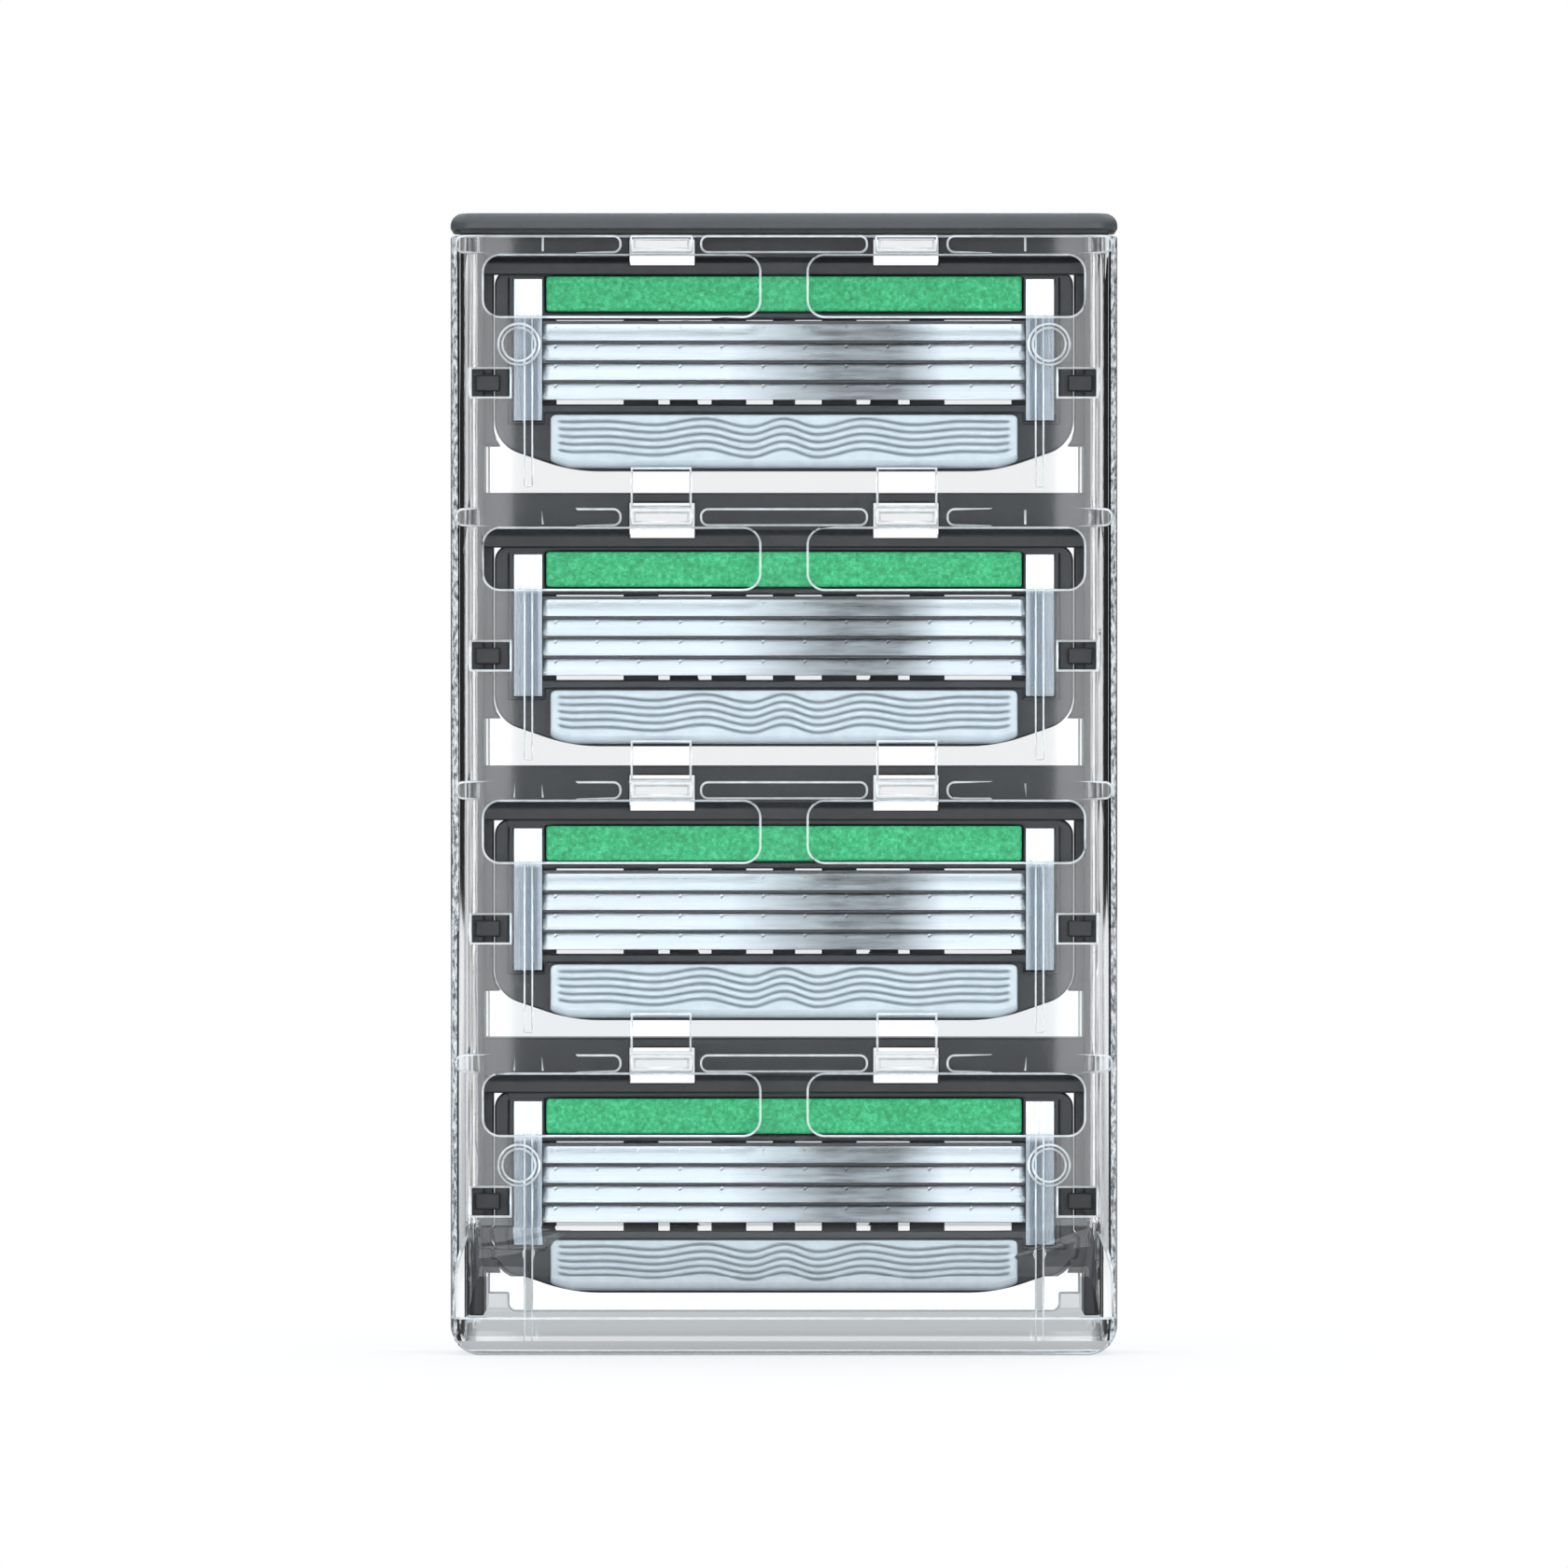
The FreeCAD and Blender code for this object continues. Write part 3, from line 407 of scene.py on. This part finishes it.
def new_piece(name, mesh, node):
    """Shows a mesh in place of a CAD node, on its body and with its material."""
    piece = bpy.data.objects.new(name, mesh)
    scene.collection.objects.link(piece)
    piece.data.materials.clear()
    piece.data.materials.append(MATERIALS[slot_of_node[node]])
    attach(piece, body_of_node[node])
    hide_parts(node)
    return piece


WELD_WITHIN = 0.002 * MM
COPLANAR_DEGREES = 0.5
SHARP_FROM = 32.0
SHARP_TO = 140.0
FLAT_FROM = 0.99999
BEVEL_SEGMENTS = 2
BEVEL_REACH = 2.4
BEVEL_SHARE = 0.42
LEAST_ROOM = 0.18 * MM
SAMPLE_GAP = 0.25 * MM
SAME_PLACE = 0.001 * MM
CELL_GAP = 0.6 * MM
CUT_SNAP = 0.0001 * MM


def split_into_cells(shape):
    """Cuts every large face between the features, so that no face has to wrap round one."""
    for axis in range(3):
        places = sorted({round(vertex.co[axis] / MM, 3) for vertex in shape.verts})
        for low, high in zip(places, places[1:]):
            if (high - low) * MM < CELL_GAP:
                continue
            across = Vector((0, 0, 0))
            across[axis] = 1.0
            everything = shape.verts[:] + shape.edges[:] + shape.faces[:]
            middle = across * ((low + high) / 2 * MM)
            bmesh.ops.bisect_plane(
                shape, geom=everything, dist=CUT_SNAP, plane_co=middle, plane_no=across
            )
    shape.normal_update()


def room_beside(rounded, sharp, reach):
    """The free width beside each rounded edge, up to reach, before the next sharp edge."""
    samples = []
    for edge in sharp:
        start, end = (vertex.co for vertex in edge.verts)
        count = max(1, math.ceil((end - start).length / SAMPLE_GAP))
        samples += [(start.lerp(end, i / count), edge) for i in range(count + 1)]
    tree = KDTree(len(samples))
    for index, (point, _) in enumerate(samples):
        tree.insert(point, index)
    tree.balance()
    room = {}
    chosen = set(rounded)
    for point, edge in samples:
        if edge not in chosen:
            continue
        along = (edge.verts[1].co - edge.verts[0].co).normalized()
        best = room.get(edge, reach)
        for other_point, index, distance in tree.find_range(point, best):
            other = samples[index][1]
            if distance < SAME_PLACE or set(other.verts) & set(edge.verts):
                continue
            away = (other_point - point) / distance
            beside = abs(away.dot(along)) < 0.5
            if beside and any(abs(away.dot(face.normal)) < 0.1 for face in edge.link_faces):
                best = min(best, distance)
        room[edge] = best
    return room


def softened(node, width, edge_material=None):
    """A CAD node's own shape with its sharp edges rounded, as a moulding tool leaves them."""
    mesh = nodes_of_cad[node].data.copy()
    shape = bmesh.new()
    shape.from_mesh(mesh)
    weights = shape.edges.layers.float.new("bevel_weight_edge")
    bmesh.ops.remove_doubles(shape, verts=shape.verts, dist=WELD_WITHIN)
    flat = math.radians(COPLANAR_DEGREES)
    bmesh.ops.dissolve_limit(
        shape, angle_limit=flat, verts=shape.verts, edges=shape.edges, delimit=set()
    )
    split_into_cells(shape)
    turns = {edge: math.degrees(edge.calc_face_angle(0.0)) for edge in shape.edges}
    sharp = [edge for edge, turn in turns.items() if SHARP_FROM < turn < SHARP_TO]
    rounded = [edge for edge in sharp if edge.is_convex]
    room = room_beside(rounded, sharp, BEVEL_REACH * width)
    for edge, turn in turns.items():
        edge.smooth = turn < SHARP_FROM
    for edge in rounded:
        if room[edge] > LEAST_ROOM:
            edge[weights] = min(1.0, BEVEL_SHARE * room[edge] / width)
    for face in shape.faces:
        face.smooth = True
    shape.to_mesh(mesh)
    shape.free()
    piece = new_piece(f"{node}_moulding", mesh, node)
    bevel = piece.modifiers.new("rounded_edges", "BEVEL")
    bevel.width = width
    bevel.segments = BEVEL_SEGMENTS
    bevel.limit_method = "WEIGHT"
    bevel.use_clamp_overlap = False
    if edge_material is not None:
        piece.data.materials.append(edge_material)
        bevel.material = 1
    baked = piece.evaluated_get(bpy.context.evaluated_depsgraph_get())
    piece.data = bpy.data.meshes.new_from_object(baked)
    piece.modifiers.clear()
    for face in piece.data.polygons:
        face.use_smooth = max(abs(part) for part in face.normal) < FLAT_FROM
    return piece


CORNER_FROM = cad_box[1][0] - 0.55 * MM
CORNER_FRONT = cad_box[0][1] + 2.0 * MM
CORNER_TURN = (0.6, 0.995)


def dimple_and_glint_corners(case):
    """Gives the outermost facets of the upright front corners their dimpled surface, with its painted
    glints and shade.
    """
    case.data.materials.append(CLEAR_CORNER_GLINTS)
    slot = len(case.data.materials) - 1
    low, high = CORNER_TURN
    for face in case.data.polygons:
        at_corner = abs(face.center.x) > CORNER_FROM and face.center.y < CORNER_FRONT
        faces_out = face.normal.x * face.center.x > 0.0 and face.normal.y < 0.0
        if at_corner and faces_out and low < abs(face.normal.x) < high:
            face.material_index = slot


ROUNDING_STEPS = 4
NO_LENGTH = 1e-9


def lattice_lines(low, high, radius, step):
    """Places along one axis: close together over the rounded ends, then evenly spaced."""
    turn = math.pi / 2 / ROUNDING_STEPS
    ends = [radius * (1 - math.cos(turn * i)) for i in range(ROUNDING_STEPS + 1)]
    middle = high - low - 2 * radius
    count = max(1, round(middle / step))
    inner = [low + radius + middle * i / count for i in range(1, count)]
    return [low + e for e in ends] + inner + [high - e for e in reversed(ends)]


def rounded_block(low, high, radius, steps):
    """A closed box with rounded edges, as a fine mesh. Returns its bmesh."""
    shape = bmesh.new()
    lines = [lattice_lines(low[i], high[i], radius, steps[i]) for i in range(3)]
    last = [len(line) - 1 for line in lines]
    corners = {}

    def vertex(*index):
        if index not in corners:
            point = Vector(lines[axis][index[axis]] for axis in range(3))
            core = Vector(
                min(max(point[axis], low[axis] + radius), high[axis] - radius) for axis in range(3)
            )
            out = point - core
            if out.length > NO_LENGTH:
                point = core + out.normalized() * radius
            corners[index] = shape.verts.new(point)
        return corners[index]

    for axis in range(3):
        u, v = (axis + 1) % 3, (axis + 2) % 3
        for side in (0, last[axis]):
            for i in range(last[u]):
                for j in range(last[v]):
                    quad = []
                    for du, dv in ((0, 0), (1, 0), (1, 1), (0, 1)):
                        index = [0, 0, 0]
                        index[axis], index[u], index[v] = side, i + du, j + dv
                        quad.append(vertex(*index))
                    if side == 0:
                        quad.reverse()
                    shape.faces.new(quad).smooth = True
    return shape


def finished_mesh(shape, name):
    mesh = bpy.data.meshes.new(name)
    shape.to_mesh(mesh)
    shape.free()
    return mesh


# ------------------------------------------------------------------ the lubricating strip

STRIP_ROUNDING = 0.22 * MM
STRIP_MESH = (0.16 * MM, 0.4 * MM, 0.12 * MM)
STRIP_SKIN = 0.3 * MM
LUMPS_PER_MM = 1.7
LUMP = 0.012 * MM


def make_strip(row):
    """The lubricating strip: a soft-edged bar whose surface is slightly uneven."""
    node = f"cartridge_{row}_lubricating_strip"
    low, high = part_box(node)
    shape = rounded_block(low, high, STRIP_ROUNDING, STRIP_MESH)
    for vertex in shape.verts:
        if vertex.co.y < low[1] + STRIP_SKIN:
            vertex.co.y += LUMP * (1 + noise.noise(vertex.co * (LUMPS_PER_MM / MM)))
    new_piece(f"{node}_bar", finished_mesh(shape, node), node)


# ---------------------------------------------------------------------- the comfort guard

GUARD_ROUNDING = 0.2 * MM
GUARD_MESH = (0.12 * MM, 0.4 * MM, 0.05 * MM)
GUARD_SKIN = 0.1 * MM
GUARD_TAPER = 1.7 * MM
GUARD_LIFT = 0.5 * MM
GUARD_LIFT_CURVE = 1.6
GUARD_CORNER = 0.5 * MM
GUARD_CORNER_DROP = 0.3 * MM
GUARD_TOE = 0.55 * MM
GUARD_TOE_DEPTH = 0.25 * MM
GROOVES = 5
GROOVE_TOP = 3.27 * MM
GROOVE_PITCH = 0.54 * MM
GROOVE_HALF = 0.095 * MM
GROOVE_DEPTH = 0.36 * MM
GROOVE_FADE = 0.25 * MM
# Distance from the middle and height of each crest and trough of the wave, in millimetres.
GUARD_WAVE = (
    (0.0, 0.23),
    (2.4, -0.35),
    (5.7, 0.23),
    (9.3, -0.2),
    (12.8, 0.05),
    (16.0, 0.0),
    (20.0, 0.0),
)


def wave_height(across_mm):
    """How far a guard fin rises above its straight line, at a distance from the middle."""
    for (start, first), (end, second) in zip(GUARD_WAVE, GUARD_WAVE[1:]):
        if abs(across_mm) <= end:
            blend = (1 - math.cos(math.pi * (abs(across_mm) - start) / (end - start))) / 2
            return first + (second - first) * blend
    return 0.0


def groove_depth(across, up):
    """How deep the grooves are at a place, from 0 to 1. The height is above the guard's foot."""
    cut = 0.0
    for groove in range(GROOVES):
        line = GROOVE_TOP - groove * GROOVE_PITCH + wave_height(across / MM) * MM
        cut = max(cut, math.exp(-(((up - line) / GROOVE_HALF) ** 2)))
    return cut


def make_guard(row):
    """The comfort guard, with wavy grooves between its fins and ends that follow the housing."""
    node = f"cartridge_{row}_comfort_guard"
    low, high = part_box(node)
    half = high[0]
    height = high[2] - low[2]
    shape = rounded_block(low, high, GUARD_ROUNDING, GUARD_MESH)
    for vertex in shape.verts:
        across, up = abs(vertex.co.x), vertex.co.z - low[2]
        taper = max(0.0, (across - (half - GUARD_TAPER)) / GUARD_TAPER)
        lift = taper**GUARD_LIFT_CURVE * GUARD_LIFT
        corner = max(0.0, across - (half - GUARD_CORNER)) / GUARD_CORNER
        drop = (1 - math.sqrt(max(0.0, 1 - min(1.0, corner) ** 2))) * GUARD_CORNER_DROP
        share = up / height
        vertex.co.z += lift * (1 - share) - drop * share
        if vertex.co.y > low[1] + GUARD_SKIN:
            continue
        fade = min(1.0, max(0.0, (half - GUARD_CORNER - across) / GROOVE_FADE))
        toe = max(0.0, (GUARD_TOE - up) / GUARD_TOE)
        vertex.co.y += GROOVE_DEPTH * groove_depth(across, up) * fade + GUARD_TOE_DEPTH * toe
    new_piece(f"{node}_fins", finished_mesh(shape, node), node)


# ----------------------------------------------------------------------------- the blades

BLADE_BACK = 0.49 * MM
BLADE_UP = 1.22 * MM
BLADE_GAUGE = 0.1 * MM
BLADE_COLUMNS = 60
COLUMN_GAP = 0.02 * MM
HONE_WIDTH_MM = 0.2
HONE_SLOPE = 0.2
BEND_MM = 0.9
HEEL_MM = 0.25
HEEL_STEP = 0.015 * MM
LINES_MM = (0, 0.06, 0.12, HONE_WIDTH_MM, 0.23, 0.5, 0.8, 0.93, 0.98, 1.02, 1.06, 1.1, 1.14, 1.2, 1.28)
WELDS = 12
WELD_PITCH = 2.97 * MM
WELD_UP = 1.06 * MM
WELD_COLUMNS = [offset * 0.05 * MM for offset in range(-3, 4)]
WELD_LEAN = 0.5
WELD_HALF_WIDTH = 0.055 * MM
WELD_HALF_HEIGHT = 0.1 * MM
WELD_DEPTH = 0.06 * MM
welds = [WELD_PITCH * (i + 0.5 - WELDS / 2) for i in range(WELDS)]


def blade_columns(low, high):
    """Places along a blade for its rings of vertices, closer together at the welds."""
    places = {low + (high - low) * i / BLADE_COLUMNS for i in range(BLADE_COLUMNS + 1)}
    for weld in welds:
        places |= {weld + offset for offset in WELD_COLUMNS}
    ordered = sorted(places)
    return [a for a, b in zip(ordered, ordered[1:]) if b - a > COLUMN_GAP] + [ordered[-1]]


def dent_depth(place, along):
    """How deep the weld dents are on a blade's face."""
    dent = 0.0
    for weld in welds:
        skew = (place - weld) - (along - WELD_UP) * WELD_LEAN
        reach = (skew / WELD_HALF_WIDTH) ** 2 + ((along - WELD_UP) / WELD_HALF_HEIGHT) ** 2
        dent = max(dent, math.exp(-reach))
    return dent * WELD_DEPTH


def make_blade(row, number):
    """A honed blade, with the shallow dents of its spot welds along the upper half."""
    node = f"cartridge_{row}_blade_{number}"
    low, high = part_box(node)
    tip = Vector((0, low[1], low[2]))
    slope = Vector((0, BLADE_BACK, BLADE_UP)).normalized()
    depth = Vector((0, slope.z, -slope.y))
    width = math.hypot(BLADE_BACK, BLADE_UP)
    profile = [(up * MM, 0.0) for up in LINES_MM] + [(width, HEEL_STEP), (width, BLADE_GAUGE)]
    profile += [(BEND_MM * MM, BLADE_GAUGE), (HEEL_MM * MM, BLADE_GAUGE)]
    shape = bmesh.new()
    rings = []
    for place in blade_columns(low[0], high[0]):
        ring = []
        for along, inward in profile:
            if inward == 0.0:
                hone = max(0.0, HONE_WIDTH_MM * MM - along) * HONE_SLOPE
                inward = hone + dent_depth(place, along)
            across = Vector((place, 0, 0))
            ring.append(shape.verts.new(across + tip + slope * along + depth * inward))
        rings.append(ring)
    count = len(profile)
    hone_line = LINES_MM.index(HONE_WIDTH_MM)
    for before, after in zip(rings, rings[1:]):
        for i in range(count):
            j = (i + 1) % count
            face = shape.faces.new((before[i], before[j], after[j], after[i]))
            face.smooth = i != hone_line and i < len(LINES_MM) - 1
    shape.faces.new(rings[0])
    shape.faces.new(list(reversed(rings[-1])))
    bmesh.ops.recalc_face_normals(shape, faces=shape.faces)
    new_piece(f"{node}_honed", finished_mesh(shape, node), node)


# ------------------------------------------------------------------- cartridges and shell

CASE_ROUNDING = 0.15 * MM
TRAY_ROUNDING = 0.12 * MM
CARTRIDGE_ROUNDING = {
    "housing": 0.14 * MM,
    "connector": 0.12 * MM,
    "clip_left": 0.07 * MM,
    "clip_right": 0.07 * MM,
}


def make_cartridge(row):
    name = f"cartridge_{row}"
    for part, rounding in CARTRIDGE_ROUNDING.items():
        softened(f"{name}_{part}", rounding)
    make_strip(row)
    make_guard(row)
    for number in BLADES:
        make_blade(row, number)
    supports = nodes_of_cad[f"{name}_blade_supports"]
    supports.data.materials.clear()
    supports.data.materials.append(MATERIALS["support_steel"])


# ----------------------------------------------------------------------- light and camera

# A direction's turn is 0 straight behind the object, and 1 straight in front of it.
TENT = ((0.0, 1.0), (0.105, 1.0), (0.12, 0.02), (0.62, 0.02), (0.65, 0.25), (0.92, 0.16), (1.0, 0.1))
STRIP_LIGHTS = (
    (0.655, 0.0),
    (0.665, 0.4),
    (0.735, 0.4),
    (0.745, 1.0),
    (0.8, 1.0),
    (0.81, 0.25),
    (0.825, 0.25),
    (0.835, 0.9),
    (0.875, 0.8),
    (0.885, 0.0),
)
STRIP_HALF_HEIGHT = 0.12
STRIP_GAIN = 9.0
DIFFUSE_LOSS = -4.5
# A direction's height is 0 straight down, and 1 straight up.
OVERHEAD = ((0.0, 0.0), (0.62, 0.0), (0.78, 1.0), (1.0, 1.0))
OVERHEAD_COLOUR = (1.62, 1.7, 1.78, 1.0)
WHITE = (1.0, 1.0, 1.0, 1.0)
FLOOR_REACH = 4.0
FLOOR_FRONT = -0.1
FLOOR_GREY = (0.25, 0.25, 0.25, 1.0)
# How bright the floor itself is, for light that the object passes on, by metres behind it. The dimmer
# glow close to the object is a painted shadow.
FLOOR_GLOW = ((0.0, 0.14), (0.3, 0.18), (1.0, 0.55))
FLOOR_GLOW_SEEN = (0.6, 0.6, 0.6, 1.0)
SOFTBOX_WIDTH = 0.6
SOFTBOX_HEIGHT = 0.8
SOFTBOX_FROM_MIDDLE = 38.8 * MM
SOFTBOX_RADIANCE = 2.0
SOFTBOX_COLOUR = (0.97, 0.985, 1.0)
CAMERA_AWAY = 1.4
CAMERA_UP = cad_box[1][2] / 2
LENS = 447.8
SENSOR = 36.0


def make_world():
    """A white tent, darker in front, with dark flags at the sides for the clear edges."""
    world = bpy.data.worlds.new("tent")
    scene.world = world
    world.use_nodes = True
    tent = Nodes(world.node_tree)
    output = tent.add("ShaderNodeOutputWorld")
    direction = tent.split(tent.add("ShaderNodeTexCoord").outputs["Generated"])
    turn = tent.math("ABSOLUTE", tent.math("ARCTAN2", direction["X"], direction["Y"]))
    turn = tent.math("MULTIPLY", turn, 1 / math.pi)
    round_about = tent.ramp(turn, *TENT)
    strip_lights = tent.ramp(turn, *STRIP_LIGHTS)
    upward = tent.math("ADD", tent.math("MULTIPLY", direction["Z"], 0.5), 0.5)
    above = tent.ramp(upward, *OVERHEAD)
    walls = tent.mix(above, round_about, OVERHEAD_COLOUR)
    level = tent.math("LESS_THAN", tent.math("ABSOLUTE", direction["Z"]), STRIP_HALF_HEIGHT)
    rays = tent.add("ShaderNodeLightPath").outputs
    loss = tent.math("MULTIPLY", rays["Is Diffuse Ray"], DIFFUSE_LOSS)
    gain = tent.math("ADD", loss, STRIP_GAIN)
    glow = tent.math("MULTIPLY", tent.math("MULTIPLY", strip_lights, level), gain)
    around = tent.add("ShaderNodeBackground")
    tent.link(tent.mix(1.0, walls, glow, "ADD"), around.inputs["Color"])
    white = tent.add("ShaderNodeBackground")
    white.inputs["Color"].default_value = WHITE
    seen = rays["Is Camera Ray"]
    either = tent.choose(seen, around.outputs["Background"], white.outputs["Background"])
    tent.link(either, output.inputs["Surface"])


def pale_floor():
    """A pale floor that glows a little, less close to the object as a painted shadow there."""
    shader = Shader("pale_floor")
    shader.set(Base_Color=FLOOR_GREY, Roughness=0.9)
    # Painted shadow: the glow is weaker close to the object, for all rays but camera rays.
    glow = shader.ramp(shader.split(shader.place)["Y"], *FLOOR_GLOW)
    seen = shader.add("ShaderNodeLightPath").outputs["Is Camera Ray"]
    shader.set(Emission_Color=WHITE)
    shader.use(Emission_Strength=shader.mix(seen, glow, FLOOR_GLOW_SEEN))
    return shader.material


def add_softbox(name, side):
    """An upright panel of light that faces the object, beside the camera."""
    lamp = bpy.data.lights.new(name, "AREA")
    lamp.shape = "RECTANGLE"
    lamp.size = SOFTBOX_WIDTH
    lamp.size_y = SOFTBOX_HEIGHT
    lamp.energy = SOFTBOX_RADIANCE * math.pi * SOFTBOX_WIDTH * SOFTBOX_HEIGHT
    lamp.color = SOFTBOX_COLOUR
    light = bpy.data.objects.new(name, lamp)
    across = side * (SOFTBOX_FROM_MIDDLE + SOFTBOX_WIDTH / 2)
    light.location = (across, -CAMERA_AWAY, CAMERA_UP)
    light.rotation_euler = (math.radians(90), 0, 0)
    scene.collection.objects.link(light)


def make_stage():
    floor_mesh = bpy.data.meshes.new("floor")
    near, far = FLOOR_FRONT, FLOOR_REACH
    corners = [(-far, near, 0), (far, near, 0), (far, far, 0), (-far, far, 0)]
    floor_mesh.from_pydata(corners, [], [(0, 1, 2, 3)])
    floor = bpy.data.objects.new("floor", floor_mesh)
    scene.collection.objects.link(floor)
    floor.data.materials.append(pale_floor())
    add_softbox("softbox_left", -1)
    add_softbox("softbox_right", 1)


def make_camera():
    camera = bpy.data.cameras.new("camera")
    camera.sensor_width = SENSOR
    camera.lens = LENS
    camera.clip_start = 0.05
    camera.clip_end = 20.0
    holder = bpy.data.objects.new("camera", camera)
    holder.location = (0, -CAMERA_AWAY, CAMERA_UP)
    holder.rotation_euler = (math.radians(90), 0, 0)
    scene.collection.objects.link(holder)
    scene.camera = holder


make_camera()
make_world()
make_stage()
dimple_and_glint_corners(softened("clear_case", CASE_ROUNDING, CLEAR_EDGE_HIGHLIGHT))
softened("cartridge_tray", TRAY_ROUNDING)
for row in ROWS:
    make_cartridge(row)
scene.view_settings.view_transform = "Standard"
scene.cycles.max_bounces = 24
scene.cycles.transmission_bounces = 20
scene.cycles.transparent_max_bounces = 16
